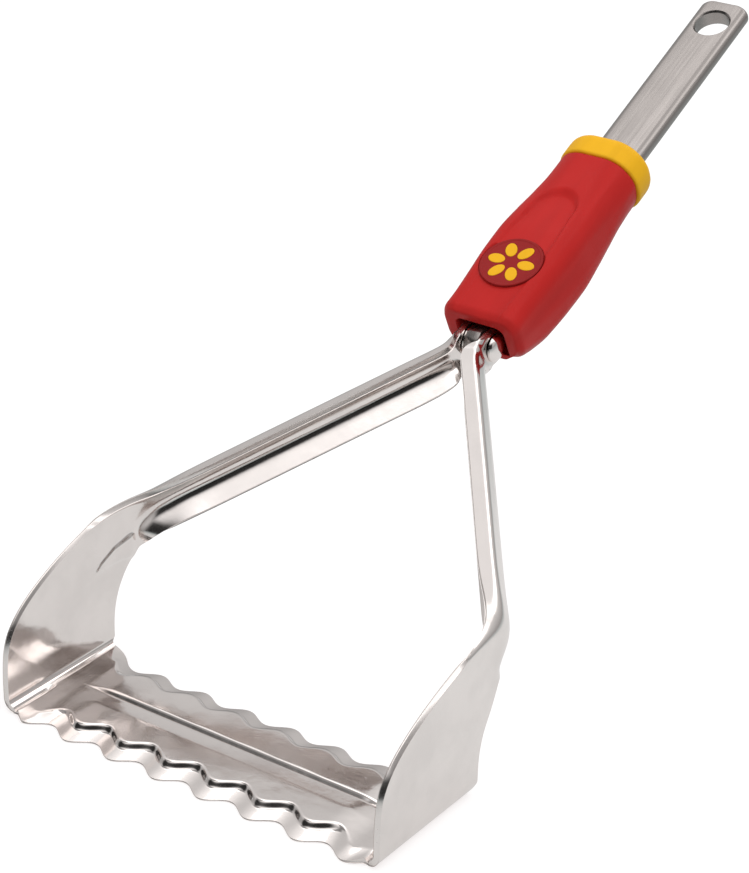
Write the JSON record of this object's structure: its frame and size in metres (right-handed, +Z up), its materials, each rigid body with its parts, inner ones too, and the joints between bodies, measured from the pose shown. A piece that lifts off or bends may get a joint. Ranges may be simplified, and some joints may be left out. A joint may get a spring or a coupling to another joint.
{
  "type": "oscillating hoe head",
  "caption": "Garden hoe head: a sheet-steel stirrup with a wavy double-edged blade swings on a rivet at the front of a flat steel tang with a plastic sleeve, collar and badge.",
  "frame": {"origin": "centre of the bottom of the bounding box", "axes": "+Z up, blade along X, tang leaning up and away towards +Y"},
  "size_m": [0.15, 0.3282, 0.1771],
  "materials": {
    "bright_steel": "bright plated",
    "satin_steel": "satin",
    "red_plastic": "semi-gloss",
    "yellow_plastic": "semi-gloss",
    "dark_red_plastic": "matte"
  },
  "bodies": {
    "handle": {"tang": "satin_steel", "pivot_bush": "satin_steel", "sleeve": "red_plastic", "collar": "yellow_plastic", "badge_disc": "dark_red_plastic", "badge_petal_1": "yellow_plastic", "badge_petal_2": "yellow_plastic", "badge_petal_3": "yellow_plastic", "badge_petal_4": "yellow_plastic", "badge_petal_5": "yellow_plastic", "badge_petal_6": "yellow_plastic"},
    "stirrup": {"blade": "bright_steel", "side_plate_left": "bright_steel", "side_plate_right": "bright_steel", "arm_left": "bright_steel", "arm_right": "bright_steel", "pivot_rivet": "bright_steel", "washer_left": "bright_steel", "washer_right": "bright_steel"}
  },
  "joints": [
    {"name": "blade_swing", "type": "hinge", "parent": "handle", "child": "stirrup", "pos_m": [0, -0.00052, 0.0945], "axis": [-1, 0, 0], "range_deg": [-9, 15]}
  ]
}
